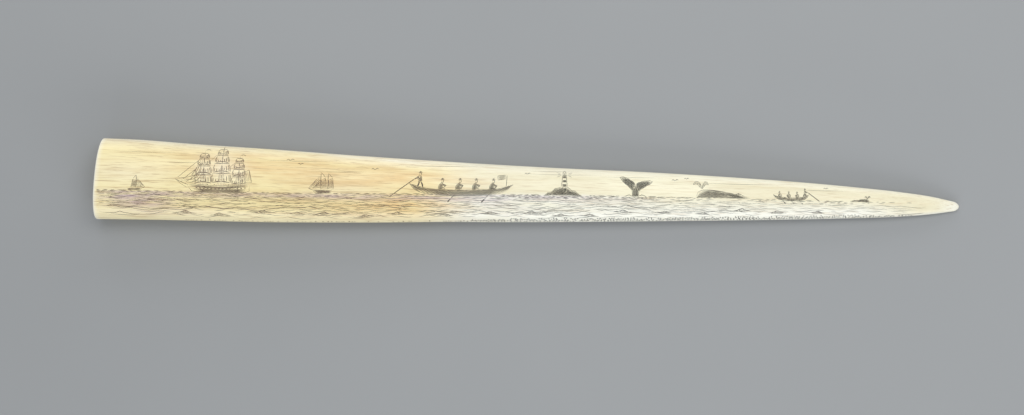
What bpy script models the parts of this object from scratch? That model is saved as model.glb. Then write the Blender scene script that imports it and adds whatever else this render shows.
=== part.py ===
"""The bill of a swordfish, sawn off at the head and polished, lying on its flat underside.

+X runs from the sawn end to the tip, +Y across, +Z up. The origin is on the surface that the bill
lies on, under the middle of its box. The engraving is shallower than a hair and belongs to the finish.
"""

import math

import bmesh
import bpy

# Driving sizes in metres, and one angle in degrees
LENGTH = 0.820
BASE_WIDTH = 0.0772
BASE_HEIGHT = 0.0364
REST_WIDTH = 0.0270  # the flat strip of the underside, at the sawn end
TIP_ROUNDING = 0.0055  # length over which the tip closes
RIM_ROUNDING = 0.0016  # worn edge of the sawn face
SAW_SKEW_DEG = 3.4  # the saw cut leans this much from square, seen from above

# The two long edges seen from above: share of the length, and share of half the base width.
# The far edge tapers first and the near edge, towards -Y, later, so the bill bows a little that way.
FAR_EDGE_SHARES = (
    (0.00, 1.000), (0.04, 0.988), (0.11, 0.922), (0.20, 0.853), (0.30, 0.762), (0.42, 0.676),
    (0.52, 0.621), (0.64, 0.581), (0.74, 0.517), (0.82, 0.447), (0.88, 0.370), (0.93, 0.289),
    (0.966, 0.204), (1.00, 0.067),
)
NEAR_EDGE_SHARES = (
    (0.00, 1.000), (0.05, 0.979), (0.13, 0.960), (0.19, 0.948), (0.26, 0.912), (0.33, 0.864),
    (0.40, 0.804), (0.46, 0.769), (0.55, 0.704), (0.68, 0.591), (0.78, 0.498), (0.87, 0.401),
    (0.93, 0.319), (0.966, 0.238), (1.00, 0.123),
)
# The height for each width: share of the length, and share of what it is at the sawn end
HEIGHT_SHARES = ((0.00, 1.00), (0.45, 0.93), (0.80, 1.00), (1.00, 1.12))
WIDEST_LEVEL = 0.36  # height of the widest line, as a share of the section's height
SKEW_FADES_BY = 0.10  # share of the length by which the skew of the cut has faded

# The lengthwise edges are blunt at the sawn end and keener towards the tip
SECTION_POWER_AT_BASE = 2.15
SECTION_POWER_AT_TIP = 1.75

# Facets
BODY_RINGS = 56
TIP_RINGS = 8
RIM_RINGS = 3
CROWN_FACETS = 12  # from the widest line to the crest, on each side
SHOULDER_FACETS = 5  # from the flat strip to the widest line, on each side
STRIP_FACETS = 4

SHARP_EDGE_DEG = 40

BONE_COLOUR = (0.86, 0.76, 0.55, 1.0)
BONE_ROUGHNESS = 0.38


def through(stations, share):
    """A smooth curve through (share, value) stations, with a parabola's slope at each of them."""
    last = len(stations) - 1
    steps = [stations[i + 1][0] - stations[i][0] for i in range(last)]
    rises = [(stations[i + 1][1] - stations[i][1]) / steps[i] for i in range(last)]
    slopes = [rises[0]]
    for i in range(1, last):
        weighed = rises[i - 1] * steps[i] + rises[i] * steps[i - 1]
        slopes.append(weighed / (steps[i - 1] + steps[i]))
    slopes.append(rises[-1])
    i = next((k for k in range(last) if share <= stations[k + 1][0]), last - 1)
    t = (share - stations[i][0]) / steps[i]
    low, high = stations[i][1], stations[i + 1][1]
    bend = t * t * (3 - 2 * t)
    leave = t * (1 - t) ** 2 * steps[i] * slopes[i]
    arrive = t * t * (t - 1) * steps[i] * slopes[i + 1]
    return low + bend * (high - low) + leave + arrive


def half_width(share):
    return 0.25 * BASE_WIDTH * (through(FAR_EDGE_SHARES, share) + through(NEAR_EDGE_SHARES, share))


def middle(share):
    """How far the section's middle lies from the straight axis, along Y."""
    return 0.25 * BASE_WIDTH * (through(FAR_EDGE_SHARES, share) - through(NEAR_EDGE_SHARES, share))


def height(share):
    """Height of the section, which follows the width and is a little rounder at the tip."""
    return BASE_HEIGHT * half_width(share) / half_width(0.0) * through(HEIGHT_SHARES, share)


def saw_skew():
    """How far the sawn face leans along X, for each metre across."""
    return math.tan(math.radians(SAW_SKEW_DEG))


def sawn_end():
    """X of the middle of the sawn face. It puts the middle of the bill's box over the origin."""
    return 0.5 * (saw_skew() * (0.5 * BASE_WIDTH - RIM_ROUNDING) - LENGTH)


def closing(share):
    """Share of its full size that a section keeps: 1 along the body, and an ellipse to 0 at the tip."""
    left = (1 - share) * LENGTH / TIP_ROUNDING
    return math.sqrt(1 - (1 - left) ** 2) if left < 1 else 1.0


def quarter(across, up, power, facets):
    """Points of a quarter superellipse, from the end of its first half axis to the end of its second."""
    for i in range(facets + 1):
        turn = 0.5 * math.pi * i / facets
        yield across * math.cos(turn) ** (2 / power), up * math.sin(turn) ** (2 / power)


def section(share):
    """(y, z) points once round the bill: along the flat strip to +Y, up, over the crest and down."""
    wide, high = half_width(share), height(share)
    level = WIDEST_LEVEL * high
    strip = 0.5 * REST_WIDTH * wide / half_width(0.0)
    power = SECTION_POWER_AT_BASE + (SECTION_POWER_AT_TIP - SECTION_POWER_AT_BASE) * share
    shoulder = [
        (strip + y, level - z)
        for y, z in quarter(wide - strip, level, 2, SHOULDER_FACETS)
    ]
    crown = [
        (y, level + z) for y, z in quarter(wide, high - level, power, CROWN_FACETS)
    ]
    right = shoulder[:0:-1] + crown[:-1]
    flat = [
        (strip * (2 * i / STRIP_FACETS - 1), 0.0) for i in range(1, STRIP_FACETS)
    ]
    left = [(-y, z) for y, z in reversed(right)]
    return flat + right + [crown[-1]] + left


def ring(share, inset=0.0, forward=0.0):
    """The section at this share of the length in space, drawn in by inset and moved along by forward."""
    keep = closing(share)
    wide, high = half_width(share), height(share)
    level = WIDEST_LEVEL * high
    narrow, lower = 1 - inset / wide, 1 - 2 * inset / high
    skew = saw_skew() * max(0.0, 1 - share / SKEW_FADES_BY)
    points = []
    for y, z in section(share):
        y = y * keep * narrow
        z = level + (z - level) * keep
        z = 0.5 * high + (z - 0.5 * high) * lower
        x = sawn_end() + share * LENGTH + forward + skew * y
        points.append((x, y + middle(share), z))
    return points


def rings():
    """Every ring from the sawn face to the last one before the tip's point."""
    made = []
    for i in range(RIM_RINGS):
        turn = 0.5 * math.pi * i / RIM_RINGS
        inset = RIM_ROUNDING * (1 - math.sin(turn))
        made.append(ring(0.0, inset, RIM_ROUNDING * (1 - math.cos(turn))))
    start, end = RIM_ROUNDING / LENGTH, 1 - TIP_ROUNDING / LENGTH
    for i in range(BODY_RINGS + 1):
        made.append(ring(start + (end - start) * i / BODY_RINGS))
    for i in range(1, TIP_RINGS):
        turn = 0.5 * math.pi * i / TIP_RINGS
        made.append(ring(1 - TIP_ROUNDING / LENGTH * (1 - math.sin(turn))))
    return made


def bill_mesh():
    """A loft through the rings, with a flat sawn face and a rounded tip."""
    shape = bmesh.new()
    loops = [[shape.verts.new(point) for point in points] for points in rings()]
    for near, far in zip(loops, loops[1:]):
        for i in range(len(near)):
            j = (i + 1) % len(near)
            shape.faces.new((near[i], far[i], far[j], near[j]))
    shape.faces.new(loops[0])
    tip = shape.verts.new((sawn_end() + LENGTH, middle(1.0), WIDEST_LEVEL * height(1.0)))
    last = loops[-1]
    for i in range(len(last)):
        shape.faces.new((last[i], tip, last[(i + 1) % len(last)]))
    bmesh.ops.recalc_face_normals(shape, faces=shape.faces)
    mesh = bpy.data.meshes.new("swordfish_bill")
    shape.to_mesh(mesh)
    shape.free()
    mesh.shade_smooth()
    mesh.set_sharp_from_angle(angle=math.radians(SHARP_EDGE_DEG))
    return mesh


def bone_material():
    """Polished fish bone: cream, with a soft shine."""
    material = bpy.data.materials.new("bone")
    material.use_nodes = True
    shader = material.node_tree.nodes["Principled BSDF"]
    shader.inputs["Base Color"].default_value = BONE_COLOUR
    shader.inputs["Roughness"].default_value = BONE_ROUGHNESS
    shader.inputs["Metallic"].default_value = 0.0
    return material


def main():
    for old in list(bpy.data.objects):
        bpy.data.objects.remove(old)
    collection = bpy.data.collections.new("scrimshaw_swordfish_bill")
    bpy.context.scene.collection.children.link(collection)
    bill = bpy.data.objects.new("swordfish_bill", bill_mesh())
    bill.data.materials.append(bone_material())
    collection.objects.link(bill)


main()
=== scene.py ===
"""The looks of a scrimshaw swordfish bill: polished, stained bone with a sea scene cut and inked.

The bill's surface is lofted again from the solid's own sections, finely enough to carry the picture.
Each engraved line is a V groove in that surface, and the ink is a second skin that lies in the grooves.
The picture's sizes are millimetres: x from the sawn end towards the tip, and h above the horizon as
seen from straight above. On the surface u is the same as x, and v runs over the curve from the crest.
"""

import math
import random

import bpy
import numpy as np
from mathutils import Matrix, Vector
from mathutils.geometry import delaunay_2d_cdt


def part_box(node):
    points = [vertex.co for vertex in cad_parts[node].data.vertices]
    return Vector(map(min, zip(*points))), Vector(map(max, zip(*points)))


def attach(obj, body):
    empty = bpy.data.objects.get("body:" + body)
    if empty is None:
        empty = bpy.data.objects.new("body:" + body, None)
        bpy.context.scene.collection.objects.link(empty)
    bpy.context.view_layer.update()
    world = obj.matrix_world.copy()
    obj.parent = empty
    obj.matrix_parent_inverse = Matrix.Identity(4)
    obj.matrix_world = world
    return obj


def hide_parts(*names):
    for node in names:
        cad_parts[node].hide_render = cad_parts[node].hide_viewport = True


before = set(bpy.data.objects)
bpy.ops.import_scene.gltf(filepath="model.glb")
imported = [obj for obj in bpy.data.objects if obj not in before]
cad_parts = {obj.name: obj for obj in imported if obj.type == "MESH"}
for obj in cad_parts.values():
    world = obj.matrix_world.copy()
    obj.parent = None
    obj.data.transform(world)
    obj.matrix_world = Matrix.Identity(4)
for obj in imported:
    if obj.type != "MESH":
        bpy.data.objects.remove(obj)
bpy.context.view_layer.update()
LOW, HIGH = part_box("swordfish_bill")

MM = 0.001
dice = random.Random(1842)
vary = dice.uniform

# The bill's form, as the solid has it: sizes in metres, then shares of the length and of the width
REST_WIDTH = 0.0270
TIP_ROUNDING = 0.0055
RIM_ROUNDING = 0.0016
SAW_SKEW = math.tan(math.radians(3.4))
SKEW_FADES_BY = 0.10
WIDEST_LEVEL = 0.36
SECTION_POWER_AT_BASE = 2.15
SECTION_POWER_AT_TIP = 1.75
FAR_EDGE_SHARES = (
    (0.00, 1.000), (0.04, 0.988), (0.11, 0.922), (0.20, 0.853), (0.30, 0.762), (0.42, 0.676),
    (0.52, 0.621), (0.64, 0.581), (0.74, 0.517), (0.82, 0.447), (0.88, 0.370), (0.93, 0.289),
    (0.966, 0.204), (1.00, 0.067),
)
NEAR_EDGE_SHARES = (
    (0.00, 1.000), (0.05, 0.979), (0.13, 0.960), (0.19, 0.948), (0.26, 0.912), (0.33, 0.864),
    (0.40, 0.804), (0.46, 0.769), (0.55, 0.704), (0.68, 0.591), (0.78, 0.498), (0.87, 0.401),
    (0.93, 0.319), (0.966, 0.238), (1.00, 0.123),
)
HEIGHT_SHARES = ((0.00, 1.00), (0.45, 0.93), (0.80, 1.00), (1.00, 1.12))

BASE_WIDTH = HIGH[1] - LOW[1]
BASE_HEIGHT = HIGH[2] - LOW[2]
SAW_REACH = SAW_SKEW * (0.5 * BASE_WIDTH - RIM_ROUNDING)
LENGTH = HIGH[0] - LOW[0] - SAW_REACH
SAWN_END = LOW[0] + SAW_REACH

# How finely the surface is lofted
RIM_RINGS = 6
BODY_RINGS = 210
TIP_RINGS = 10
SAWN_FACE_RINGS = 5
CROWN_COLUMNS = 30
SHOULDER_COLUMNS = 9
STRIP_COLUMNS = 6
COLUMNS = CROWN_COLUMNS + 2 * SHOULDER_COLUMNS + STRIP_COLUMNS
AROUND = [(column, (column + 1) % COLUMNS) for column in range(COLUMNS)]
CROWN_SHARES = np.linspace(1, -1, CROWN_COLUMNS + 1)  # of the way from the crest to the far edge
FIRST_RING, LAST_RING = RIM_RINGS, RIM_RINGS + BODY_RINGS  # the engraved crown runs between these
SHARP_EDGE_DEG = 40

# Shares of the unfolded map: the crown's girth, the whole girth, and the sawn face's corner of the rest
CROWN_MAP = 0.50
BODY_MAP = 0.86
SAWN_MAP = (0.02, 0.24, 0.88, 0.99)

# The grooves and the ink, in millimetres
GROOVE_SLOPE = 0.55  # depth of a groove against its width
DEEPEST_GROOVE = 0.18
CROSSING_DEPTH = 0.5 * DEEPEST_GROOVE
INK_LEVEL = 0.020  # depth of the ink's surface under the bone's
INK_LAYERS = 9  # crossing strokes lie this many small steps apart
INK_STEP = 0.0015
FLAT_STEPS = (60.0, 3.0)  # a stroke's longest steps, along and across, before it is laid on the curve
CURVED_STEPS = (9.0, 1.6)  # and after
EDGE_MARGIN = 0.6
SHORTEST_HATCH = 0.6

# The picture's horizon: share of the length, and millimetres from the bill's straight axis
HORIZON = ((0.0, -10.3), (0.2, -8.2), (0.42, -3.8), (0.56, -1.4), (0.7, -0.1), (0.85, 0.6), (1.0, 1.4))
HORIZON_ENDS = 772.0  # how far it runs from the sawn end


def through(stations, share):
    """A smooth curve through (share, value) stations, with a parabola's slope at each of them."""
    places, values = np.array(stations).T
    steps = np.diff(places)
    rises = np.diff(values) / steps
    slopes = np.empty_like(places)
    slopes[0], slopes[-1] = rises[0], rises[-1]
    slopes[1:-1] = (rises[:-1] * steps[1:] + rises[1:] * steps[:-1]) / (steps[:-1] + steps[1:])
    share = np.asarray(share, dtype=float)
    i = np.clip(np.searchsorted(places, share, side="right") - 1, 0, len(steps) - 1)
    t = (share - places[i]) / steps[i]
    bend = t * t * (3 - 2 * t)
    leave = t * (1 - t) ** 2 * steps[i] * slopes[i]
    arrive = t * t * (t - 1) * steps[i] * slopes[i + 1]
    return values[i] + bend * (values[i + 1] - values[i]) + leave + arrive


def half_width(share):
    return 0.25 * BASE_WIDTH * (through(FAR_EDGE_SHARES, share) + through(NEAR_EDGE_SHARES, share))


def middle(share):
    """How far the section's middle lies from the straight axis, along Y."""
    return 0.25 * BASE_WIDTH * (through(FAR_EDGE_SHARES, share) - through(NEAR_EDGE_SHARES, share))


def height(share):
    return BASE_HEIGHT * half_width(share) / half_width(0.0) * through(HEIGHT_SHARES, share)


def section_power(share):
    """The power of the crown's superellipse, which falls towards the tip."""
    return SECTION_POWER_AT_BASE + (SECTION_POWER_AT_TIP - SECTION_POWER_AT_BASE) * share


def placed(share, y, z, inset=0.0, forward=0.0):
    """Points of the section at this share of the length, put in space."""
    left = np.clip((1 - share) * LENGTH / TIP_ROUNDING, 0, 1)
    keep = np.sqrt(1 - (1 - left) ** 2)
    wide, tall = half_width(share), height(share)
    level = WIDEST_LEVEL * tall
    y = y * keep * (1 - inset / wide)
    z = level + (z - level) * keep
    z = 0.5 * tall + (z - 0.5 * tall) * (1 - 2 * inset / tall)
    skew = SAW_SKEW * np.maximum(0, 1 - share / SKEW_FADES_BY)
    x = SAWN_END + share * LENGTH + forward + skew * y
    return np.stack(np.broadcast_arrays(x, y + middle(share), z), axis=-1)


def crown_section(share, turn):
    """(y, z) over the domed face, from the far edge at turn 0 to the near edge at half a turn."""
    wide, tall = half_width(share), height(share)
    level = WIDEST_LEVEL * tall
    power = section_power(share)
    y = wide * np.sign(np.cos(turn)) * np.abs(np.cos(turn)) ** (2 / power)
    z = level + (tall - level) * np.abs(np.sin(turn)) ** (2 / power)
    return y, z


TABLE_SHARES = np.linspace(0, 1, 161)
TABLE_ARCS = np.linspace(0, 1, 97)
TABLE_TURNS = np.linspace(0, 0.5 * math.pi, 97)


def arc_tables():
    """For stations along the bill: the arc from crest to edge, the turn at even shares of that arc,
    and the share of it at even turns."""
    fine = np.linspace(0.5 * math.pi, 0, 400)
    arcs, turns, shares = [], [], []
    for share in TABLE_SHARES:
        y, z = crown_section(share, fine)
        run = np.concatenate([[0], np.cumsum(np.hypot(np.diff(y), np.diff(z)))])
        arcs.append(run[-1])
        turns.append(np.interp(TABLE_ARCS, run / run[-1], fine))
        shares.append(np.interp(TABLE_TURNS, fine[::-1], run[::-1] / run[-1]))
    return np.array(arcs), np.array(turns), np.array(shares)


HALF_ARCS, TURNS, ARC_SHARES = arc_tables()


def half_arc(u):
    """Millimetres over the surface from the crest to either edge, u mm from the sawn end."""
    return np.interp(np.asarray(u) * MM / LENGTH, TABLE_SHARES, HALF_ARCS) / MM


def looked_up(table, share, place):
    """A table's value between its stations: the share of the length picks the row, the place the column."""
    row = np.clip(share, 0, 1) * (table.shape[0] - 1)
    column = np.clip(place, 0, 1) * (table.shape[1] - 1)
    i = np.minimum(np.asarray(row).astype(int), table.shape[0] - 2)
    j = np.minimum(np.asarray(column).astype(int), table.shape[1] - 2)
    a, b = row - i, column - j
    near = table[i, j] * (1 - b) + table[i, j + 1] * b
    far = table[i + 1, j] * (1 - b) + table[i + 1, j + 1] * b
    return near * (1 - a) + far * a


def crown_turn(share, across):
    """The turn at this share of the half arc from the crest, which is positive on the far side."""
    turn = looked_up(TURNS, share, np.abs(across))
    return np.where(across >= 0, turn, math.pi - turn)


def over_curve(x, y):
    """Millimetres over the surface from the crest, for a point seen y mm from the straight axis."""
    share = np.clip(x * MM / LENGTH, 0, 1)
    aside = (y * MM - middle(share)) / half_width(share)
    turn = np.arccos(np.minimum(np.abs(aside), 1) ** (0.5 * section_power(share)))
    return np.sign(aside) * looked_up(ARC_SHARES, share, turn / (0.5 * math.pi)) * half_arc(x)


def crown_point(u, v):
    """Points u mm from the sawn end and v mm over the surface from the crest."""
    share = u * MM / LENGTH
    across = np.clip(v / half_arc(u), -1, 1)
    y, z = crown_section(share, crown_turn(share, across))
    return placed(share, y, z)


def crown_normal(u, v, nudge=0.25):
    along = crown_point(u + nudge, v) - crown_point(u - nudge, v)
    around = crown_point(u, v + nudge) - crown_point(u, v - nudge)
    normal = np.cross(along, around)
    return normal / np.linalg.norm(normal, axis=-1, keepdims=True)


def horizon(x):
    """Millimetres from the straight axis to the picture's horizon, seen from above."""
    return through(HORIZON, np.clip(np.asarray(x) * MM / LENGTH, 0, 1))


def near_edge(x):
    """How low the near edge lies under the horizon, seen from above."""
    share = min(x * MM / LENGTH, 1)
    return float((middle(share) - half_width(share)) / MM - horizon(x))


# The picture: every stroke is a run of (u, v) points with a width at each

strokes = []


def divided(points, along, across):
    """The same run with no step longer than these."""
    made = [points[0]]
    for start, end in zip(points, points[1:]):
        step = np.abs(end - start)
        count = max(1, math.ceil(max(step[0] / along, step[1] / across)))
        made += [start + (end - start) * i / count for i in range(1, count + 1)]
    return made


def resampled(points):
    """The run with steps short enough for the surface's curve, and a point near each end."""
    made = divided(points, *CURVED_STEPS)
    if len(made) < 6:
        made.insert(1, made[0] + 0.3 * (made[1] - made[0]))
        made.insert(-1, made[-1] + 0.3 * (made[-2] - made[-1]))
    return np.array(made)


def cut(points, width, taper=0.18, level=None):
    """One stroke through (x, h) points, which thins towards its ends and stops short of the edges.

    A stroke with a level keeps its own height over the curve, above and below that h.
    """
    x, h = np.array(divided(np.array(points, dtype=float), *FLAT_STEPS)).T
    base = h if level is None else level
    run = resampled(np.stack([x, over_curve(x, horizon(x) + base) + h - base], axis=1))
    inside = np.abs(run[:, 1]) < half_arc(run[:, 0]) - EDGE_MARGIN
    inside &= run[:, 0] > RIM_ROUNDING / MM + EDGE_MARGIN
    inside &= run[:, 0] < (LENGTH - TIP_ROUNDING) / MM - EDGE_MARGIN
    for piece in np.split(np.arange(len(run)), np.nonzero(np.diff(inside))[0] + 1):
        if len(piece) < 3 or not inside[piece[0]]:
            continue
        kept = run[piece]
        steps = np.hypot(*np.diff(kept, axis=0).T)
        t = np.concatenate([[0], np.cumsum(steps)]) / steps.sum()
        widths = width * np.clip(np.minimum(t, 1 - t) / taper, 0, 1)
        strokes.append((kept, widths))


def smooth(points, pitch=2.4):
    """A Catmull-Rom curve through the points, with a step of about the pitch."""
    points = np.array(points, dtype=float)
    ends = np.concatenate([[2 * points[0] - points[1]], points, [2 * points[-1] - points[-2]]])
    made = [points[0]]
    for a, b, c, d in zip(ends, ends[1:], ends[2:], ends[3:]):
        count = max(1, math.ceil(np.hypot(*(c - b)) / pitch))
        for i in range(1, count + 1):
            t = i / count
            made.append(0.5 * (2 * b + (c - a) * t + (2 * a - 5 * b + 4 * c - d) * t * t
                               + (3 * b - a - 3 * c + d) * t ** 3))
    return made


class Pen:
    """Draws a figure in its own millimetres, at a place on the horizon, facing the tip or the base."""

    def __init__(self, x, h, size, facing=1, level=None):
        self.place = np.array([x, h])
        self.scale = np.array([size * facing, size])
        self.level = level

    def line(self, width, *points, taper=0.18):
        cut([self.place + self.scale * p for p in points], width, taper, self.level)

    def curve(self, width, *points):
        self.line(width, *smooth(points))

    def blot(self, x, y, wide, tall):
        """A small solid mark, such as a hat or a port."""
        self.line(tall, (x - 0.5 * wide, y), (x, y), (x + 0.5 * wide, y), taper=0.4)

    def hatch(self, outline, pitch=0.6, width=0.62, angle=0.0):
        """Fills a closed outline with parallel strokes at this angle, in degrees."""
        turn = math.radians(angle)
        to_rows = np.array([[math.cos(turn), math.sin(turn)], [-math.sin(turn), math.cos(turn)]])
        corners = np.array(outline) @ to_rows.T
        row = corners[:, 1].min() + 0.5 * pitch
        while row < corners[:, 1].max():
            hits = []
            for (ax, ay), (bx, by) in zip(corners, np.roll(corners, -1, axis=0)):
                if (ay > row) != (by > row):
                    hits.append(ax + (row - ay) * (bx - ax) / (by - ay))
            hits.sort()
            for start, end in zip(hits[::2], hits[1::2]):
                if end - start > SHORTEST_HATCH:
                    ends = [(start + vary(0, 0.2), row), (end - vary(0, 0.2), row)]
                    self.line(width, *(np.array(ends) @ to_rows))
            row += pitch * vary(0.9, 1.1)

    def shaded(self, outline, edge, closed=False, **hatching):
        """An outline drawn this wide, with hatching inside it."""
        self.line(edge, *outline, *(outline[:1] if closed else ()))
        self.hatch(outline, **hatching)


def square_sail(pen, mast, top, foot, top_half, foot_half):
    """A sail between two yards: it bellies, its foot is arched, and its lee side and foot are shaded."""
    tall = top - foot
    arch = 0.17 * tall
    for side in (-1, 1):
        waist = (mast + side * (0.5 * (top_half + foot_half) + 0.4), foot + 0.5 * tall)
        pen.curve(0.5, (mast + side * top_half, top), waist, (mast + side * foot_half, foot))
    pen.curve(0.9, (mast - foot_half, foot), (mast, foot + arch), (mast + foot_half, foot))
    for i, height_share in enumerate((0.92, 0.74, 0.52, 0.3, 0.24, 0.34, 0.5)):
        share = -0.87 + 0.29 * i
        base = foot + arch * (1 - share * share) + 0.1
        reach = height_share * (top - base)
        half = foot_half + (top_half - foot_half) * reach / tall
        pen.line(0.62, (mast + share * foot_half, base), (mast + share * half, base + reach))


def square_rigged_ship(x, size, facing):
    """A three-masted ship under full sail, the stock figure of such work."""
    pen = Pen(x, -0.5, size, facing)
    pen.curve(0.8, (-25.5, 7), (-14, 5.2), (0, 4.4), (14, 4.8), (27, 6.4))
    pen.curve(0.4, (-25.6, 8.2), (-14, 6.3), (0, 5.5), (14, 5.9), (26.4, 7.4))
    pen.curve(0.7, (-25.5, 7), (-25, 3.2), (-22.5, 0.1), (0, -0.4), (20, 0.1), (24.5, 2.6), (27, 6.4))
    for i in range(6):
        ends = (-22.8 - 0.3 * i, 0.2 + 0.5 * i), (20 + 0.8 * i, 0.3 + 0.5 * i)
        pen.curve(0.56, ends[0], (0, -0.1 + 0.44 * i), ends[1])
    for i in range(4):
        pen.curve(0.54, (-24.9, 4.8 + 0.55 * i), (0, 3.05 + 0.44 * i), (25.6, 4.5 + 0.5 * i))
    for i in range(14):
        port = -21.5 + 3.1 * i
        pen.blot(port, 2.6 + 0.0028 * port * port, 1.9, 1.5)
    pen.line(0.6, (25.5, 5.6), (37.5, 10.6))
    pen.curve(0.3, (36, 9.6), (31, 6), (26.4, 3.4))
    for mast, top, spread in ((13.5, 35, 1), (-1.5, 39, 1.08), (-16, 31, 0.82)):
        pen.line(0.62, (mast, 4), (mast, top))
        levels = [3.4 + share * (top - 3.4) for share in (0.12, 0.35, 0.58, 0.77, 0.92)]
        halves = [spread * half for half in (7.8, 7.2, 5.8, 4.4, 3)]
        for level, half in zip(levels[1:], halves[1:]):
            pen.line(0.75, (mast - half - 0.6, level), (mast + half + 0.6, level))
        for i in range(4):
            foot = levels[i] + (0.8 if i else 0.2)
            square_sail(pen, mast, levels[i + 1] - 0.3, foot, 0.92 * halves[i + 1], 0.94 * halves[i])
        for side in (-1, 1):
            pen.line(0.26, (mast + 3.6 * side, 4.6), (mast, levels[2]))
            pen.line(0.26, (mast + 2.2 * side, 4.4), (mast, levels[2] - 1))
        pen.curve(0.6, (mast, top), (mast - 2.4, top + 0.9), (mast - 5, top - 0.3))
    for foot, head in ((36.5, 30), (32.5, 24), (29, 18)):
        tack = 0.42 * foot - 5.0
        pen.line(0.4, (14, head), (foot, tack))
        pen.curve(0.42, (14.6, head - 1.5), (19, 0.5 * head), (foot - 0.8, tack + 0.3))
        pen.line(0.42, (16, head - 5.5), (20.6, 0.46 * head))
        pen.line(0.4, (18.5, head - 8), (24, 0.42 * head))
    spanker = ((-17, 7.6), (-27, 8.6), (-24.5, 19), (-17, 15.4))
    pen.shaded(spanker, 0.42, closed=True, pitch=1.2, width=0.34, angle=80)
    for high, low in (((-1.5, 36), (13.5, 21)), ((-16, 28), (-1.5, 15)), ((13.5, 33), (25, 8))):
        pen.line(0.26, high, low)
    for deck in (-20, -8, 4, 10, 20):
        pen.blot(deck, 6.0 + 0.003 * deck * deck, 1.1, 1.3)


def cutter(x, size, facing, masts=1):
    """A far-off sail: a small hull with one or two fore-and-aft masts."""
    pen = Pen(x, -0.3, size, facing)
    hull = ((-10, 3), (-8.6, 0), (7, 0), (11, 3.4))
    pen.shaded(hull, 0.5, closed=True, pitch=0.55, width=0.5)
    pen.line(0.45, (10.5, 3.3), (15.5, 5.2))
    for i in range(masts):
        mast, top = 2.5 - 7.5 * i, 23 - 1.5 * i
        pen.line(0.5, (mast, 3), (mast, top))
        main = ((mast - 0.5, 4.4), (mast - 7.0 + i, 4.7), (mast - 4.8, 16), (mast - 0.5, 13.4))
        pen.shaded(main, 0.42, closed=True, pitch=1, width=0.42, angle=76)
        pen.line(0.36, (mast - 0.3, top - 1), (mast - 4.6, 16.6))
    for head, tack in ((19, 15), (14.5, 10.5)):
        jib = ((3, head), (tack, 5.2), (3.8, 6))
        pen.shaded(jib, 0.4, closed=True, pitch=1.3, width=0.36, angle=-55)


def head_and_hat(pen, x, y):
    """A head in outline under a dark hat with a brim."""
    turns = np.linspace(0, math.tau, 9)
    pen.line(0.5, *((x + 1.1 * math.cos(a), y + 1.3 * math.sin(a)) for a in turns), taper=0.02)
    pen.blot(x, y + 1.5, 4.4, 0.8)
    pen.blot(x, y + 2.3, 2.6, 1.4)


def seated_rower(pen, seat, lean, near_side):
    """A rower with a bent back, a hat and both hands on an oar."""
    neck = seat + 1.4 - lean
    torso = smooth(((seat + 4.4, 3.4), (seat + 4.2 - 0.3 * lean, 6.6), (seat + 3.0 - 0.8 * lean, 9),
                    (neck, 10.2), (neck - 1.3, 8.8), (seat + 0.5 - 0.3 * lean, 6.2), (seat + 0.8, 3.4)), 2)
    pen.shaded(torso, 0.6, pitch=0.66, width=0.58, angle=58)
    head_and_hat(pen, neck - 0.5, 11.8)
    pen.line(0.95, (neck + 0.6, 9.6), (seat - 1, 8.2), (seat - 3.2, 7.7))
    pen.line(0.6, (neck - 0.8, 8.4), (seat - 1.4, 7), (seat - 3.4, 7.4))
    pen.line(0.8, (seat + 3.4, 4.4), (seat - 0.6, 5.3), (seat - 2.4, 3.8))
    if near_side:
        pen.line(0.8, (seat - 3.6, 8.1), (seat + 8.8, -5.4), taper=0.05)
        pen.line(1.3, (seat + 8, -4.6), (seat + 10.2, -6.9), (seat + 11.8, -8.6))
    else:
        pen.line(0.6, (seat - 3.8, 7.8), (seat + 4.4, 2.4))


def longboat(x, size, facing, oars=4):
    """A long open boat, its hull hatched dark, pulled by its rowers and steered by one who stands."""
    pen = Pen(x, 0.4, size, facing)
    half = 50 if oars == 4 else 34

    def edge(*stations):
        """A smooth edge through (share of the half length, height) stations."""
        return smooth([(share * half, up) for share, up in stations], 4)

    hull = edge((-1, 9), (-0.7, 5), (-0.25, 3.4), (0.25, 3.4), (0.7, 5), (1, 9.2))
    hull += edge((1, 9.2), (0.86, 2.4), (0.55, -1.4), (0, -2.8), (-0.55, -1.4), (-0.86, 2.4), (-1, 9))
    pen.shaded(hull, 0.6, pitch=0.58)
    pen.hatch(hull, pitch=1.5, width=0.5, angle=32)
    for i in range(oars):
        seated_rower(pen, -0.62 * half + 16.3 * i, vary(-0.4, 1.6), i % 2 == 0 or oars < 4)
    stand = 0.78 * half
    pen.curve(1.4, (stand - 1.8, 5.4), (stand - 1.2, 8.4), (stand + 0.2, 11.2))
    pen.curve(1.4, (stand + 3.4, 5.8), (stand + 2.5, 8.4), (stand + 1.2, 11.2))
    coat = ((stand - 1, 10.6), (stand - 0.5, 15.6), (stand + 0.6, 16.8), (stand + 2.2, 15.8),
            (stand + 2.6, 10.4))
    pen.shaded(coat, 0.6, closed=True, pitch=0.64, width=0.6, angle=66)
    head_and_hat(pen, stand + 0.8, 18.3)
    pen.line(1, (stand + 1.6, 15.9), (stand + 4.8, 14), (stand + 7, 13.2))
    pen.line(0.7, (stand - 0.2, 15.6), (stand + 2.6, 13.4), (stand + 5.2, 14.3))
    pen.line(0.8, (stand + 1.2, 17.4), (stand + 30, -3.6), taper=0.06)
    if oars < 4:
        return
    bow = -0.86 * half
    pen.line(0.5, (bow, 6), (bow - 0.6, 18.5))
    flag = ((bow - 0.5, 18.4), (bow + 8.4, 17.2), (bow + 8, 13.2), (bow - 0.3, 14.2))
    pen.shaded(flag, 0.42, pitch=0.85, width=0.44, angle=-8)


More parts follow.
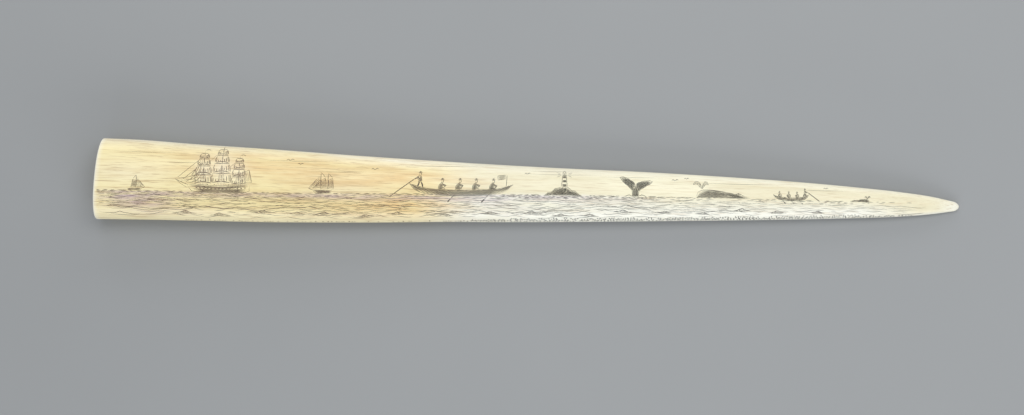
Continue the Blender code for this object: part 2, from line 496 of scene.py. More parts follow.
def rock_with_lighthouse(x, size):
    """A steep rock, hatched dark on its shaded side, with a light tower and its rays."""
    pen = Pen(x, -0.4, size)
    rock = ((-21, -0.8), (-17, 2.4), (-13, 3), (-9.5, 6.6), (-5, 7.6), (-1, 9), (3.5, 8.2), (7, 5.2),
            (11, 4.4), (14.5, 1.6), (19, -0.8))
    pen.shaded(rock, 0.6, pitch=0.7, width=0.6, angle=52)
    pen.hatch(((-13, 1.5), (-5, 7.2), (2.5, 7.6), (3, -0.6), (-8, -0.6)), pitch=0.8, width=0.5, angle=-38)
    pen.line(0.5, (-3, 8.4), (-1.9, 20.4))
    pen.line(0.5, (3, 8.2), (1.9, 20.4))
    for band in range(3):
        base = 9.2 + 4.2 * band
        top = base + 2.3
        pen.hatch(((-2.8, base), (-2.5, top), (2.5, top), (2.8, base)), pitch=0.55, width=0.52)
    pen.line(0.66, (-3, 20.5), (3, 20.5))
    pen.line(0.5, (-1.5, 20.6), (-1.5, 23.2), (0, 25), (1.5, 23.2), (1.5, 20.6))
    pen.blot(0, 22, 1.6, 1.4)
    for angle in np.radians((-24, -8, 8, 172, 188, 204)):
        ray = np.array([math.cos(angle), math.sin(angle)])
        pen.line(0.36, (0, 22) + 3.6 * ray, (0, 22) + 8.6 * ray)


def whale_back(x, size, facing):
    """The long back of a whale just breaking the water, with its spout."""
    pen = Pen(x, -0.5, size, facing)
    back = smooth(((-27, 0), (-19, 2.8), (-14, 5.2), (-12, 4.2), (-4, 5.6), (8, 7.4), (19, 7.6),
                   (24.5, 5), (26, 0)), 3)
    pen.line(0.6, *back)
    pen.hatch(back + [(-27, 0)], angle=6)
    pen.hatch(((-6, 0.4), (0, 6), (18, 7), (23.5, 4.4), (24, 0.4)), pitch=1, width=0.5, angle=58)
    pen.curve(0.5, (23.6, 2.8), (19.8, 2), (16.2, 2.8))
    for lean in (-0.75, 1):
        plume = smooth([(20.5 + aside * lean, up) for aside, up in (
            (0, 7.9), (0.9, 12), (3.4, 15.4), (6.6, 15.2), (8.2, 12.6), (5, 13.2), (2.8, 11.2), (0, 7.9),
        )], 2)
        pen.shaded(plume, 0.4, pitch=0.9, width=0.38, angle=90 - 20 * lean)


def flukes(x, size, facing):
    """A whale's tail going under, hatched dark."""
    pen = Pen(x, -0.4, size, facing)
    right = ((0.4, 11.6), (3.4, 13.4), (7.6, 14.6), (13.4, 15.4), (16.6, 14.2), (13.6, 11.6), (8.6, 8.8),
             (3.6, 5.4), (3.2, 0), (-2.4, 0), (-1.6, 6))
    left = ((0.4, 11.6), (-2, 14.2), (-6, 16.6), (-11.4, 18.6), (-14.2, 18), (-11.8, 14.2),
            (-7.2, 10), (-2.7, 5.8), (-2.4, 0), (0.8, 0), (1.2, 6))
    for lobe, angle in ((right, 26), (left, -40)):
        pen.shaded(lobe, 0.6, angle=angle)
    root = ((-2.2, 0.2), (-1.8, 6), (0.4, 11), (2.6, 6), (3, 0.2))
    pen.hatch(root, pitch=0.55, angle=84)
    pen.curve(0.55, (-10, -0.4), (-5.4, 1.4), (-2.2, 0))
    pen.curve(0.5, (-8.5, -1.6), (-3.4, -0.6), (2, -1.4))
    pen.curve(0.55, (3, 0), (6.6, 1.6), (11.5, -0.4))


def gull(x, h, size):
    pen = Pen(x, h, size)
    pen.curve(0.6, (-4.6, 0.8), (-2.4, 2), (0, 0))
    pen.curve(0.6, (0, 0), (2.2, 2.2), (4.8, 1.2))


# Where the sea's lines stop for a hull or a back: x from, x to, and the lowest h that it covers
COVERED = ((84, 146, -0.9), (309, 379, -0.4), (319, 369, -2.4), (420, 464, -1.0), (564, 620, -0.8),
           (496, 520, -0.8))


def covered(x, h):
    return any(start < x < end and h > lowest for start, end, lowest in COVERED)


# The depths under the horizon that the swells lie between, and where the stipple's rows start
SWELLS_FROM, SWELLS_TO = 3.4, 30.0
SPARSE_STIPPLE_FROM, STIPPLE_FROM = 84.0, 342.0


def water(x, h, length, tall, wave, width):
    """One line of water: rounded troughs between peaked crests, which wander and vary."""
    phase = vary(0, 1)
    drift = vary(0, math.tau)
    step = min(5.0, wave / 6)
    points, along = [], 0.0
    while along < length:
        peak = 1 - 2 * abs(math.sin(math.pi * phase)) ** 0.8
        lift = tall * (0.6 * peak + 0.5 * math.sin(drift + along / 17) + 0.16 * vary(-1, 1))
        if not covered(x + along, h + lift):
            points.append((x + along, h + lift))
        elif len(points) > 3:
            break
        else:
            points = []
        along += step
        phase += step / wave * vary(0.75, 1.3)
    if len(points) > 2:
        cut(points, width, taper=0.3, level=h)


def near_water():
    """Swell upon swell below the far water, larger and wider apart towards the near edge."""
    depth = SWELLS_FROM
    while depth < SWELLS_TO:
        x = vary(3, 14)
        while x < HORIZON_ENDS - 1.3 * depth:
            share = x / HORIZON_ENDS
            length = vary(16, 58) * (1 - 0.5 * share)
            tall = (0.35 + 0.085 * depth) * (1 - 0.45 * share)
            wave = vary(11, 17) + (0.55 - 0.3 * share) * depth
            lowest = near_edge(x + 0.5 * length) + 2.2 + tall
            calm = x < 70 and depth > 15
            if -depth > lowest and not (calm and dice.random() < 0.6):
                width = (vary(0.34, 0.46) + 0.007 * depth) * (1 - 0.4 * share)
                water(x, -depth + vary(-0.5, 0.5), length, tall, wave, width)
            x += length * vary(0.75, 1.0) + vary(1, 7)
        depth += (1.05 + 0.055 * depth) * vary(0.9, 1.1)


def dashes(start, end, depth, lengths, gaps, dense, shift, tall, wave, widths, thinning=0.0):
    """A row of short lines of water at this depth, of which about the dense share is drawn."""
    x = start
    while x < end:
        length = vary(*lengths)
        if dice.random() < dense - thinning * x / HORIZON_ENDS:
            h = -depth + vary(-shift, shift)
            water(x, h, length, tall, wave, vary(*widths) if widths[1:] else widths[0])
        x += length + vary(*gaps)


def far_water():
    """Short level dashes, close together under the horizon, and heavier near the sawn end."""
    for row in range(7):
        dashes(3.0, HORIZON_ENDS - 14 * row, 0.15 + 0.62 * row, (3, 11), (0.2, 1.5), 0.95 - 0.07 * row,
               0.15, 0.12, 7, (0.4 if row < 2 else 0.32,), thinning=0.35)
    for row in range(11):
        dashes(120.0 + vary(0, 9), 640 - 12 * row, 4.2 + 1.5 * row, (5, 16), (1, 9), 0.62,
               0.4, 0.5, 9, (0.26, 0.36))
    for row in range(14):
        dashes(3.0 + vary(0, 3), 152 - 4 * row + 22 * math.sin(1.7 * row), 1.0 + 0.95 * row,
               (5, 17), (0.3, 3.0), 0.62, 0.3, 0.35, 8, (0.24, 0.36))
    for row in range(5):
        dashes(380.0 + vary(0, 3), 566 - 14 * row, 0.45 + 0.6 * row, (3, 8), (0.2, 1.2), 0.78,
               0.15, 0.15, 6, (0.42,))


def crest(x, h, size):
    """A breaking wave: a peaked line, dark under its lee side."""
    pen = Pen(x, h, size, dice.choice((-1, 1)), level=h)
    pen.curve(0.78, (-13, -0.9), (-7, -0.2), (-2.6, 1.9), (-0.4, 2.7), (1.8, 1.4), (6, 0.2), (13, -0.6))
    lee = ((-5.4, 0.1), (-2.4, 1.7), (-0.4, 2.4), (1.8, 1.0), (5.2, 0.1), (0, -0.7))
    pen.hatch(lee, pitch=0.5, width=0.7, angle=-8)
    pen.curve(0.5, (-9, -1.6), (-3, -1.1), (3, -1.8), (8, -1.4))


def crests():
    """Bold crests along the near water, at uneven distances, and a few long dark swells."""
    x = 84.0
    while x < 690:
        lowest = near_edge(x)
        crest(x, lowest + vary(5.5, 9.5), vary(0.75, 1.1) * (1 - 0.35 * x / HORIZON_ENDS))
        x += vary(26, 46)
    for x, depth, length in ((4, 15.5, 58), (30, 17.5, 62), (70, 14.5, 84), (150, 13, 70), (196, 19, 64),
                             (238, 11.5, 76), (300, 17, 58), (405, 15, 60), (470, 10, 66), (560, 12, 52)):
        water(x, -depth, length, 1.5, 26, 0.6)
        water(x + 6, -depth - 1.1, 0.7 * length, 1.3, 26, 0.42)


def stipple():
    """Rows of small pits that border the picture low on the near side: one sparse row, and then four."""
    for row, rise in enumerate((0.95, 1.9, 2.9, 4.0)):
        x = STIPPLE_FROM + 13 * row if row else SPARSE_STIPPLE_FROM
        while x < 774 - 18 * row:
            finer = 1 - 0.3 * x / HORIZON_ENDS
            dense = 0.97 - 0.17 * row if x > STIPPLE_FROM else 0.55
            h = near_edge(x) + (rise + vary(-0.3, 0.3)) * finer
            bold = 1.9 if row < 2 and x > STIPPLE_FROM else 1.5
            size = bold * (0.5 + 0.5 * finer) * vary(0.85, 1.15)
            if dice.random() < dense:
                cut([(x, h - 0.6 * size), (x, h), (x, h + 0.6 * size)], size, taper=0.25, level=h)
            x += size * vary(1.4, 2.1)


def age_lines():
    """Hair-fine lines of the bone's own grain, which have taken a little ink."""
    for x, h, length in ((150, 30, 88), (196, 20, 64), (262, 26, 120), (398, 19, 86), (404, 22, 54),
                         (470, 17.5, 70), (560, 13.5, 92), (655, 9.5, 60), (18, 36, 60), (60, 27, 44)):
        cut([(x + 0.1 * i * length, h + 0.15 * math.sin(i)) for i in range(11)], 0.3, taper=0.4)
    cut([(x, near_edge(x) + 1.8) for x in range(758, 790, 6)], 0.5)


def picture():
    square_rigged_ship(117, 1.12, -1)
    cutter(38, 0.66, 1)
    cutter(214, 0.9, -1, masts=2)
    longboat(344, 0.98, -1)
    rock_with_lighthouse(441, 0.92)
    flukes(508, 1.0, 1)
    whale_back(592, 1.0, -1)
    longboat(656, 0.5, 1, oars=3)
    whale_back(722, 0.36, 1)
    for x, h, size in ((182, 30, 0.8), (192, 26.5, 0.6), (262, 22, 0.75), (406, 19, 0.6), (546, 15, 0.7),
                       (557, 17, 0.5), (690, 11, 0.5)):
        gull(x, h, size)
    far_water()
    near_water()
    crests()
    stipple()
    age_lines()


# The surface

def loop_points(share, inset=0.0, forward=0.0):
    """One ring of the skin: over the crown from the far edge to the near one, and back underneath."""
    wide, tall = half_width(share), height(share)
    level = WIDEST_LEVEL * tall
    strip = 0.5 * REST_WIDTH * wide / half_width(0.0)
    y, z = crown_section(share, crown_turn(np.full_like(CROWN_SHARES, share), CROWN_SHARES))
    turn = 0.5 * math.pi * np.arange(1, SHOULDER_COLUMNS + 1) / SHOULDER_COLUMNS
    shoulder_y = strip + (wide - strip) * np.cos(turn)
    shoulder_z = level - level * np.sin(turn)
    strip_y = strip * (2 * np.arange(1, STRIP_COLUMNS) / STRIP_COLUMNS - 1)
    y = np.concatenate([y, -shoulder_y, strip_y, shoulder_y[::-1]])
    z = np.concatenate([z, shoulder_z, np.zeros(STRIP_COLUMNS - 1), shoulder_z[::-1]])
    return placed(share, y, z, inset, forward)


def skin_rings():
    """(points, share of the length) of each ring, from the sawn face to the last before the tip's point."""
    made = []
    for i in range(RIM_RINGS):
        turn = 0.5 * math.pi * i / RIM_RINGS
        forward = RIM_ROUNDING * (1 - math.cos(turn))
        made.append((loop_points(0.0, RIM_ROUNDING * (1 - math.sin(turn)), forward), forward / LENGTH))
    shares = [*np.linspace(RIM_ROUNDING / LENGTH, 1 - TIP_ROUNDING / LENGTH, BODY_RINGS + 1)]
    for i in range(1, TIP_RINGS):
        shares.append(1 - TIP_ROUNDING / LENGTH * (1 - math.sin(0.5 * math.pi * i / TIP_RINGS)))
    return made + [(loop_points(share), share) for share in shares]


def stroke_outline(run, widths):
    """The two sides of a stroke between its ends, in the picture's plane."""
    ahead = np.gradient(run, axis=0)
    ahead /= np.maximum(np.hypot(*ahead.T), 1e-9)[:, None]
    side = np.stack([-ahead[:, 1], ahead[:, 0]], axis=1) * 0.5 * widths[:, None]
    return (run + side)[1:-1], (run - side)[1:-1]


def near_strokes(points, reach=0.55):
    """Which of the points lie about this close to a stroke."""
    taken = set()
    for run, _ in strokes:
        for start, end in zip(run, run[1:]):
            count = 1 + int(np.hypot(*(end - start)) / reach)
            spots = start + (end - start) * np.arange(count + 1)[:, None] / count
            taken.update(map(tuple, np.floor(spots / reach)))
    around = [(a, b) for a in (-1, 0, 1) for b in (-1, 0, 1)]
    return [any((i + a, j + b) in taken for a, b in around) for i, j in np.floor(np.array(points) / reach)]


def engraved_crown(rings):
    """The crown between the first and the last body ring, triangulated round every stroke.

    Returns the plane points that are new, their depths, the faces, and which of them are groove walls,
    and then all the plane points, and the faces again as numbers of those. A face's vertices are numbers
    of ring points, or follow on from them in the order of the new ones.
    """
    places = np.array([share * LENGTH / MM for _, share in rings[FIRST_RING:LAST_RING + 1]])
    limits = half_arc(places)

    border = [(r, 0) for r in range(FIRST_RING, LAST_RING)]
    border += [(LAST_RING, c) for c in range(CROWN_COLUMNS)]
    border += [(r, CROWN_COLUMNS) for r in range(LAST_RING, FIRST_RING, -1)]
    border += [(FIRST_RING, c) for c in range(CROWN_COLUMNS, 0, -1)]
    plane = [(places[r - FIRST_RING], CROWN_SHARES[c] * limits[r - FIRST_RING]) for r, c in border]
    owner = [r * COLUMNS + c for r, c in border]
    edges = [(i, (i + 1) % len(border)) for i in range(len(border))]
    grid = [(place, share * limit)
            for place, limit in zip(places[1:-1], limits[1:-1]) for share in CROWN_SHARES[1:-1]]
    plane += [point for point, near in zip(grid, near_strokes(grid)) if not near]
    depths = [0.0] * len(plane)

    centres = set()
    for run, widths in strokes:
        centre = range(len(plane), len(plane) + len(run))
        plane.extend(run)
        depths += [min(DEEPEST_GROOVE, GROOVE_SLOPE * w) for w in widths]
        for side in stroke_outline(run, widths):
            chain = [centre[0], *range(len(plane), len(plane) + len(side)), centre[-1]]
            plane.extend(side)
            depths += [0.0] * len(side)
            edges += zip(chain, chain[1:])
        centres.update(range(len(edges), len(edges) + len(run) - 1))
        edges += zip(centre, centre[1:])

    made = delaunay_2d_cdt([Vector(point) for point in plane], edges, [], 0, 1e-4)
    points, new_edges, faces, from_points, from_edges = made[:5]
    points = np.array([tuple(point) for point in points])
    depth = np.array([max((depths[i] for i in sources), default=-1.0) for sources in from_points])
    for ends, sources in zip(new_edges, from_edges):
        for end in ends:
            if depth[end] < 0 and not centres.isdisjoint(sources):
                depth[end] = CROSSING_DEPTH
    depth = np.maximum(depth, 0.0)

    number = np.empty(len(points), dtype=int)
    fresh = []
    for i, sources in enumerate(from_points):
        on_border = [owner[s] for s in sources if s < len(owner)]
        number[i] = on_border[0] if on_border else len(rings) * COLUMNS + len(fresh)
        if not on_border:
            fresh.append(i)
    faces = np.array([face for face in faces if len(face) == 3])
    centroid = points[faces].mean(axis=1)
    limit = np.interp(centroid[:, 0], places, limits)
    faces = faces[np.abs(centroid[:, 1]) < limit]
    walls = (depth[faces] > 0).any(axis=1)
    return points[fresh], depth[fresh], number[faces], walls, points, faces


def sawn_map(point):
    """The place of a point of the sawn face on the unfolded map."""
    left, right, low, high = SAWN_MAP
    across, up = point[1] / BASE_WIDTH + 0.5, point[2] / BASE_HEIGHT
    return left + (right - left) * across, low + (high - low) * up


def plain_faces(rings, skin, sawn_start):
    """The faces outside the engraved crown, and their corners' places on the unfolded map, in one list."""
    girth = [*(CROWN_MAP * 0.5 * (1 - CROWN_SHARES)),
             *np.linspace(CROWN_MAP, BODY_MAP, COLUMNS - CROWN_COLUMNS + 1)[1:]]
    faces, places = [], []
    for r, ((_, u), (_, w)) in enumerate(zip(rings, rings[1:])):
        near, far = r * COLUMNS, (r + 1) * COLUMNS
        for c, d in AROUND[CROWN_COLUMNS:] if FIRST_RING <= r < LAST_RING else AROUND:
            faces.append((near + c, near + d, far + d, far + c))
            places += [(u, girth[c]), (u, girth[c + 1]), (w, girth[c + 1]), (w, girth[c])]

    loops = [0, *(sawn_start + COLUMNS * i for i in range(SAWN_FACE_RINGS - 1))]
    hub = loops[-1] + COLUMNS
    sawn_faces = [(outer + d, outer + c, inner + c, inner + d)
                  for outer, inner in zip(loops, loops[1:]) for c, d in AROUND]
    sawn_faces += [(loops[-1] + d, loops[-1] + c, hub) for c, d in AROUND]
    places += [sawn_map(skin[i]) for face in sawn_faces for i in face]

    near, u = (len(rings) - 1) * COLUMNS, rings[-1][1]
    tip_faces = [(near + c, near + d, hub + 1) for c, d in AROUND]
    for c in range(COLUMNS):
        places += [(u, girth[c]), (u, girth[c + 1]), (1.0, girth[c])]
    return faces + sawn_faces + tip_faces, places


def crown_corner_normals(plane, plane_faces, corners, walls):
    """The uncut surface's normal at each corner of the crown, and on a groove's walls the wall's own."""
    flat = plane_faces.ravel()
    normals = crown_normal(plane[flat, 0], plane[flat, 1])
    own = np.cross(corners[:, 1] - corners[:, 0], corners[:, 2] - corners[:, 0])
    own /= np.maximum(np.linalg.norm(own, axis=1, keepdims=True), 1e-15)
    normals[np.repeat(walls, 3)] = np.repeat(own[walls], 3, axis=0)
    return normals


def main_skin():
    """The whole skin as one closed mesh, with its grooves, its unfolded map, its stain amounts and its
    painted highlight amounts.
    """
    rings = skin_rings()
    fresh, depth, crown_faces, walls, plane, plane_faces = engraved_crown(rings)
    loops = np.concatenate([points for points, _ in rings])
    centre = np.array([SAWN_END, middle(0.0), 0.5 * height(0.0)])
    inner = [centre + (loops[:COLUMNS] - centre) * (1 - i / SAWN_FACE_RINGS)
             for i in range(1, SAWN_FACE_RINGS)]
    tip = placed(1.0, 0.0, WIDEST_LEVEL * height(1.0))
    skin = np.concatenate([loops, crown_point(fresh[:, 0], fresh[:, 1]), *inner, [centre, tip]])
    sawn_start = len(loops) + len(fresh)
    faces, places = plain_faces(rings, skin, sawn_start)

    mesh = bpy.data.meshes.new("engraved_bone")
    mesh.from_pydata(skin.tolist(), [], faces + crown_faces.tolist())
    mesh.shade_smooth()
    mesh.set_sharp_from_angle(angle=math.radians(SHARP_EDGE_DEG))
    across = np.clip(plane[:, 1] / half_arc(plane[:, 0]), -1, 1)
    crown_places = np.stack([plane[:, 0] * MM / LENGTH, CROWN_MAP * 0.5 * (1 - across)], axis=1)
    on_map = np.concatenate([places, crown_places[plane_faces.ravel()]])
    mesh.uv_layers.new(name="OFBake").data.foreach_set("uv", on_map.ravel())

    normals = np.empty(3 * len(mesh.loops))
    mesh.corner_normals.foreach_get("vector", normals)
    normals = normals.reshape(-1, 3)
    skin[len(loops):sawn_start] -= crown_normal(fresh[:, 0], fresh[:, 1]) * (depth * MM)[:, None]
    mesh.vertices.foreach_set("co", skin.ravel())
    normals[len(places):] = crown_corner_normals(plane, plane_faces, skin[crown_faces], walls)
    mesh.normals_split_custom_set(normals.tolist())
    mesh.update()

    sawn = np.zeros(len(skin))
    sawn[sawn_start:-1] = 1.0
    add_amounts(mesh, skin, sawn)
    return mesh


# Stains, in millimetres from the sawn end and from the straight axis: middle and reach along, middle
# and reach across, and strength
AMBER = (
    (95, 60, 20, 9, 0.4), (165, 70, 14, 9, 0.75), (182, 75, 26, 5, 0.5), (225, 60, 3, 8, 0.6),
    (285, 55, 13, 10, 0.6), (330, 42, 5, 8, 0.4), (60, 55, -27, 8, 0.2), (250, 80, -20, 12, 0.5),
)
ORANGE = (
    (303, 32, -15, 6, 0.95), (268, 40, -19, 7, 0.5), (240, 45, 4, 5, 0.35), (288, 34, 10, 5, 0.4),
    (160, 60, 17, 4, 0.3), (332, 16, -11, 5, 0.3),
)
INK_HAZE = (
    (38, 36, -13.5, 6.5, 0.95), (115, 60, -12, 3, 0.4), (42, 26, -22, 5, 0.6), (50, 60, -29, 7, 0.25),
    (215, 110, -10, 2.5, 0.65), (330, 70, -8, 2.5, 0.5), (430, 80, -4.5, 3.0, 0.45), (375, 30, -17, 7, 0.2),
)
WHITENED = (
    (102, 8, 10, 15, 0.5), (119, 9, 12, 18, 0.6), (135, 8, 8, 13, 0.5), (28, 44, 6, 12, 0.45),
    (235, 40, -4, 9, 0.3), (818, 16, 0, 20, 0.8),
)
# Where the looks change, from 0 at the first number to 1 at the second, in millimetres along the bill
YELLOW_FADES = (298.0, 364.0)
# the painted highlight on the far shoulder narrows between these
SHOULDER_HIGHLIGHT_NARROWS = (300.0, 200.0)
CREAMY_WATER = (450.0, 540.0)
WHITE_WATER_ENDS = (HORIZON_ENDS + 10, HORIZON_ENDS - 50)
# The same in millimetres under the horizon, in shares of the half width, and from the sawn edge
WATER = (-0.6, 1.2)
# where the painted highlight on the shoulders grows, in shares of the half width
SHOULDER_HIGHLIGHT_SPAN = (0.62, 0.90)
# where the painted highlight along the sawn rim fades, in millimetres from the sawn edge
RIM_HIGHLIGHT = (2.34, 0.54)


def amount(stains, x, y):
    """How strongly the stains cover each point, from 0 to 1."""
    total = np.zeros_like(x)
    for mid_x, reach_x, mid_y, reach_y, strength in stains:
        total += strength * np.exp(-(((x - mid_x) / reach_x) ** 2) - ((y - mid_y) / reach_y) ** 2)
    return np.clip(total, 0, 1)


def ramp(value, low, high):
    """0 at low and 1 at high, with an even slope between."""
    return np.clip((value - low) / (high - low), 0, 1)


def add_amounts(mesh, skin, sawn):
    """Stores each stain's strength on the vertices, for the bone's material, and the painted highlight that
    whitens the shoulders and the sawn rim.
    """
    x = (skin[:, 0] - SAWN_END) / MM
    share = np.clip(x * MM / LENGTH, 0, 1)
    y = skin[:, 1] / MM
    wide = half_width(share)
    aside = np.abs(skin[:, 1] - middle(share)) / wide
    far_side = skin[:, 1] > middle(share)
    facing_up = skin[:, 2] > WIDEST_LEVEL * height(share)
    depth = horizon(x) - y
    under_horizon = ramp(depth, *WATER)
    fade = ramp(x, *YELLOW_FADES)
    # Painted highlight: the shoulders are whitened as if lit, most on the far side near the sawn end and on
    # the near side towards the tip
    highlight_by_side = np.where(far_side, 1.0 - 0.55 * fade, 0.35 + 0.5 * fade)
    narrower = 0.11 * ramp(x, *SHOULDER_HIGHLIGHT_NARROWS) * far_side
    shoulder_highlight = highlight_by_side * ramp(aside - narrower, *SHOULDER_HIGHLIGHT_SPAN) ** 1.5
    creamy = ramp(x, *CREAMY_WATER) * (1 - ramp(depth, 0, 0.6 * wide / MM))
    white_sea = 0.95 * fade * under_horizon * (1 - 0.8 * creamy) * ramp(x, *WHITE_WATER_ENDS)
    values = {
        "amber": amount(AMBER, x, y),
        "orange": amount(ORANGE, x, y) * facing_up,
        "ink_haze": amount(INK_HAZE, x, y) * facing_up * under_horizon,
        "yellowed": 1 - fade * fade * (3 - 2 * fade),
        # paler bone in the sea and in the whitened spots, together with the painted highlight on the
        # shoulders
        "whitening_and_highlight": np.maximum.reduce([shoulder_highlight, white_sea, amount(WHITENED, x, y) * facing_up]),
        # painted highlight: a white band along the rounded sawn rim
        "rim_highlight": ramp(np.abs(x - SAW_SKEW * y), *RIM_HIGHLIGHT) * (1 - sawn),
        "sawn": sawn,
    }
    for name, value in values.items():
        attribute = mesh.attributes.new(name, "FLOAT", "POINT")
        attribute.data.foreach_set("value", value.astype(np.float32))


def ink_mesh():
    """Strips of ink that lie in the grooves, each a little under the bone's surface."""
    plane, faces, layer = [], [], []
    for n, (run, widths) in enumerate(strokes):
        left, right = stroke_outline(run, widths)
        start = len(plane)
        count = len(left)
        plane += [run[0], run[-1], *left, *right]
        layer += [n % INK_LAYERS] * (2 + 2 * count)
        a, b = start + 2, start + 2 + count
        faces.append((start, b, a))
        faces += [(a + i, b + i, b + i + 1, a + i + 1) for i in range(count - 1)]
        faces.append((start + 1, a + count - 1, b + count - 1))
    plane = np.array(plane)
    depth = (INK_LEVEL + INK_STEP * np.array(layer)) * MM
    normal = crown_normal(plane[:, 0], plane[:, 1])
    points = crown_point(plane[:, 0], plane[:, 1]) - normal * depth[:, None]
    mesh = bpy.data.meshes.new("engraving_ink")
    mesh.from_pydata(points.tolist(), [], faces)
    mesh.shade_smooth()
    mesh.normals_split_custom_set_from_vertices(normal.tolist())
    corners = np.empty(len(mesh.loops), dtype=int)
    mesh.loops.foreach_get("vertex_index", corners)
    flat = np.stack([plane[:, 0] * MM / LENGTH, 0.5 + 0.5 * plane[:, 1] / half_arc(0.0)], axis=1)
    mesh.uv_layers.new(name="OFBake").data.foreach_set("uv", flat[corners].ravel())
    return mesh


# Materials

class Nodes:
    """Short names for the nodes that the materials are made of."""

    def __init__(self, name):
        self.material = bpy.data.materials.new(name)
        self.material.use_nodes = True
        self.tree = self.material.node_tree
        self.shader = self.tree.nodes["Principled BSDF"]

    def put(self, socket, value):
        """Gives a socket a value, or the output of another node."""
        if isinstance(value, bpy.types.NodeSocket):
            self.tree.links.new(value, socket)
        else:
            socket.default_value = value

    def add(self, kind, output, inputs=(), **settings):
        """One output of a new node of this kind."""
        node = self.tree.nodes.new("ShaderNode" + kind)
        for key, value in settings.items():
            setattr(node, key, value)
        for key, value in dict(inputs).items():
            self.put(node.inputs[key], value)
        return node.outputs[output]

    def stretched(self, along, across):
        """Object coordinates in cells per metre, along and across the bill."""
        scale = {"Vector": self.add("TexCoord", "Object"), "Scale": (along, across, across)}
        return self.add("Mapping", "Vector", scale)

    def noise(self, along, across, detail=4.0, roughness=0.55, distortion=0.0):
        inputs = {"Vector": self.stretched(along, across), "Scale": 1.0, "Detail": detail,
                  "Roughness": roughness, "Distortion": distortion}
        return self.add("TexNoise", "Fac", inputs)

    def amount(self, name):
        return self.add("Attribute", "Fac", attribute_name=name)

    def math(self, operation, a, b):
        return self.add("Math", 0, {0: a, 1: b}, operation=operation)

    def times(self, a, b):
        return self.math("MULTIPLY", a, b)

    def between(self, value, low, high):
        """0 below low and 1 above high."""
        inputs = {"Value": value, "From Min": low, "From Max": high}
        return self.add("MapRange", "Result", inputs, interpolation_type="SMOOTHSTEP")

    def patchy(self, name, noise, low, high, strength):
        """The stored amount of this name, broken up by a noise and made weaker."""
        return self.times(self.times(self.amount(name), self.between(noise, low, high)), strength)

    def mix(self, share, a, b):
        """Colour a where the share is 0, and colour b where it is 1."""
        return self.add("Mix", 2, {0: share, 6: a, 7: b}, data_type="RGBA")

    def feed(self, name, value):
        self.put(self.shader.inputs[name], value)


def bone_material():
    """Polished bone: cream with long fibres, stained amber, whitened by painted highlight on its shoulders
    and sawn rim, and open where sawn.
    """
    n = Nodes("bone")
    mottle = n.noise(9, 38, detail=5)
    streaks = n.noise(13, 300, detail=4, roughness=0.6)
    hairs = n.noise(24, 900, detail=3, roughness=0.6)
    fibres = n.noise(80, 1700, detail=2)
    wear = n.noise(34, 130, detail=5, distortion=0.6)
    smears = n.noise(40, 420, detail=4)
    yellowed = n.amount("yellowed")
    sawn = n.amount("sawn")

    light = n.mix(yellowed, (0.88, 0.84, 0.625, 1), (0.93, 0.83, 0.48, 1))
    deep = n.mix(yellowed, (0.80, 0.745, 0.53, 1), (0.86, 0.73, 0.38, 1))
    white = n.mix(yellowed, (0.93, 0.94, 0.87, 1), (0.95, 0.92, 0.78, 1))
    core = n.mix(n.between(n.noise(90, 90), 0.35, 0.65), (0.80, 0.69, 0.46, 1), (0.71, 0.59, 0.37, 1))
    cells = n.add("TexVoronoi", "Distance", {"Vector": n.stretched(400, 900), "Scale": 1.0})
    pores = n.between(n.math("ADD", cells, n.noise(240, 240)), 0.78, 0.52)
    grain = n.math("ADD", n.times(yellowed, 0.30), 0.32)
    layers = (
        (n.patchy("amber", streaks, 0.22, 0.66, 0.95), (0.72, 0.50, 0.22, 1)),
        (n.patchy("orange", wear, 0.26, 0.60, 0.75), (0.79, 0.48, 0.18, 1)),
        # paler bone, and the painted highlight on the shoulders
        (n.patchy("whitening_and_highlight", mottle, 0.2, 0.55, 0.8), white),
        (n.patchy("ink_haze", smears, 0.26, 0.66, 0.75), (0.42, 0.28, 0.42, 1)),
        (n.times(n.between(hairs, 0.53, 0.68), grain), (0.44, 0.29, 0.14, 1)),
        (n.times(n.between(streaks, 0.52, 0.68), n.times(grain, 0.5)), (0.62, 0.44, 0.20, 1)),
        (n.times(n.between(fibres, 0.52, 0.72), 0.22), (0.50, 0.38, 0.22, 1)),
        # painted highlight along the sawn rim
        (n.amount("rim_highlight"), (0.95, 0.93, 0.82, 1)),
        (sawn, n.mix(n.times(pores, 0.75), core, (0.34, 0.23, 0.12, 1))),
    )
    colour = n.mix(n.between(mottle, 0.62, 0.34), deep, light)
    for share, tint in layers:
        colour = n.mix(share, colour, tint)
    n.feed("Base Color", colour)

    sheen = n.add("MapRange", "Result", {"Value": wear, "From Min": 0.3, "From Max": 0.7,
                                         "To Min": 0.30, "To Max": 0.46})
    n.feed("Roughness", n.math("ADD", sheen, n.times(sawn, 0.3)))
    relief = n.math("ADD", n.times(hairs, 0.4), n.times(streaks, 0.6))
    relief = n.math("SUBTRACT", relief, n.times(n.times(pores, sawn), 3.0))
    bump = {"Height": relief, "Strength": 0.25, "Distance": 0.0004}
    n.feed("Normal", n.add("Bump", "Normal", bump))
    n.feed("Coat Weight", 0.15)
    n.feed("Coat Roughness", 0.22)
    return n.material


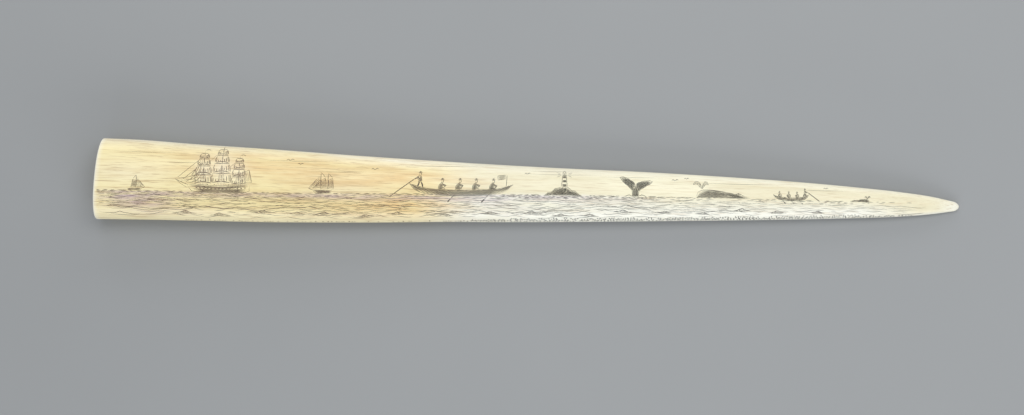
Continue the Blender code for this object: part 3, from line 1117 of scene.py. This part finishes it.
def ink_material():
    """Lampblack, browner where it is thin and warmer towards the sawn end."""
    n = Nodes("ink")
    place = n.add("SeparateXYZ", "X", {0: n.add("TexCoord", "Object")})
    cool = n.between(place, -0.25, 0.02)
    body = n.mix(cool, (0.055, 0.030, 0.030, 1), (0.022, 0.024, 0.022, 1))
    thin = n.mix(cool, (0.11, 0.065, 0.055, 1), (0.055, 0.056, 0.050, 1))
    worn = n.between(n.noise(60, 90, detail=3), 0.42, 0.66)
    n.feed("Base Color", n.mix(worn, body, thin))
    n.feed("Specular IOR Level", 0.25)
    n.feed("Roughness", n.add("MapRange", "Result", {"Value": worn, "To Min": 0.45, "To Max": 0.7}))
    return n.material


def floor_material():
    n = Nodes("pale_floor")
    n.feed("Base Color", n.mix(n.noise(3, 3), (0.300, 0.312, 0.322, 1), (0.325, 0.337, 0.347, 1)))
    n.feed("Roughness", 0.85)
    return n.material


# The room

CAMERA_HEIGHT = 1.50
CAMERA_LENS = 55.0
CAMERA_ROLL_DEG = 1.8
CAMERA_PLACE = (-0.0167, -0.0152)

FLOOR_REACH = 6.0
FLOOR_DROP = 0.0002  # the floor lies this far under the bill
ROOM_COLOUR = (0.97, 0.985, 1.0)
ROOM_STRENGTH = 0.58

# Lights: name, place, target, size, power and colour
LIGHTS = (
    ("key", (0.3, 0.9, 1.7), (0.1, 0, 0), (2.0, 1.0), 15, (1.0, 0.99, 0.97)),
    ("far_strip", (0.1, 1.5, 0.55), (0, 0, 0), (2.4, 0.5), 9, (1, 1, 1)),
    ("near_strip", (0.3, -1.5, 0.6), (0, 0, 0), (2.4, 0.5), 14.5, (0.97, 0.985, 1.0)),
)


def new_object(name, data, material=None):
    thing = bpy.data.objects.new(name, data)
    if material:
        data.materials.append(material)
    bpy.context.scene.collection.objects.link(thing)
    return thing


def add_camera():
    data = bpy.data.cameras.new("camera")
    data.lens = CAMERA_LENS
    camera = new_object("camera", data)
    camera.location = (*CAMERA_PLACE, CAMERA_HEIGHT)
    camera.rotation_euler = (0, 0, math.radians(CAMERA_ROLL_DEG))
    bpy.context.scene.camera = camera


def add_light(name, place, target, size, power, colour):
    """A rectangular light that faces its target."""
    data = bpy.data.lights.new(name, "AREA")
    data.shape = "RECTANGLE"
    data.size, data.size_y = size
    data.energy = power
    data.color = colour
    light = new_object(name, data)
    light.location = place
    light.rotation_euler = (Vector(target) - light.location).to_track_quat("-Z", "Y").to_euler()


def add_room():
    mesh = bpy.data.meshes.new("floor")
    corners = [(x * FLOOR_REACH, y * FLOOR_REACH, 0) for x, y in ((-1, -1), (1, -1), (1, 1), (-1, 1))]
    mesh.from_pydata(corners, [], [(0, 1, 2, 3)])
    floor = new_object("floor", mesh, floor_material())
    floor.location.z = -FLOOR_DROP
    for light in LIGHTS:
        add_light(*light)
    world = bpy.data.worlds.new("soft_room")
    world.use_nodes = True
    background = world.node_tree.nodes["Background"]
    background.inputs["Color"].default_value = (*ROOM_COLOUR, 1)
    background.inputs["Strength"].default_value = ROOM_STRENGTH
    bpy.context.scene.world = world


def main():
    add_camera()
    add_room()
    picture()
    bone = new_object("engraved_bone", main_skin(), bone_material())
    ink = new_object("engraving_ink", ink_mesh(), ink_material())
    for piece, slot in ((bone, "bone"), (ink, "ink")):
        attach(piece, "root")
    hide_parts("swordfish_bill")
    bpy.context.scene.view_settings.view_transform = "Standard"
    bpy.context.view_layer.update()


main()
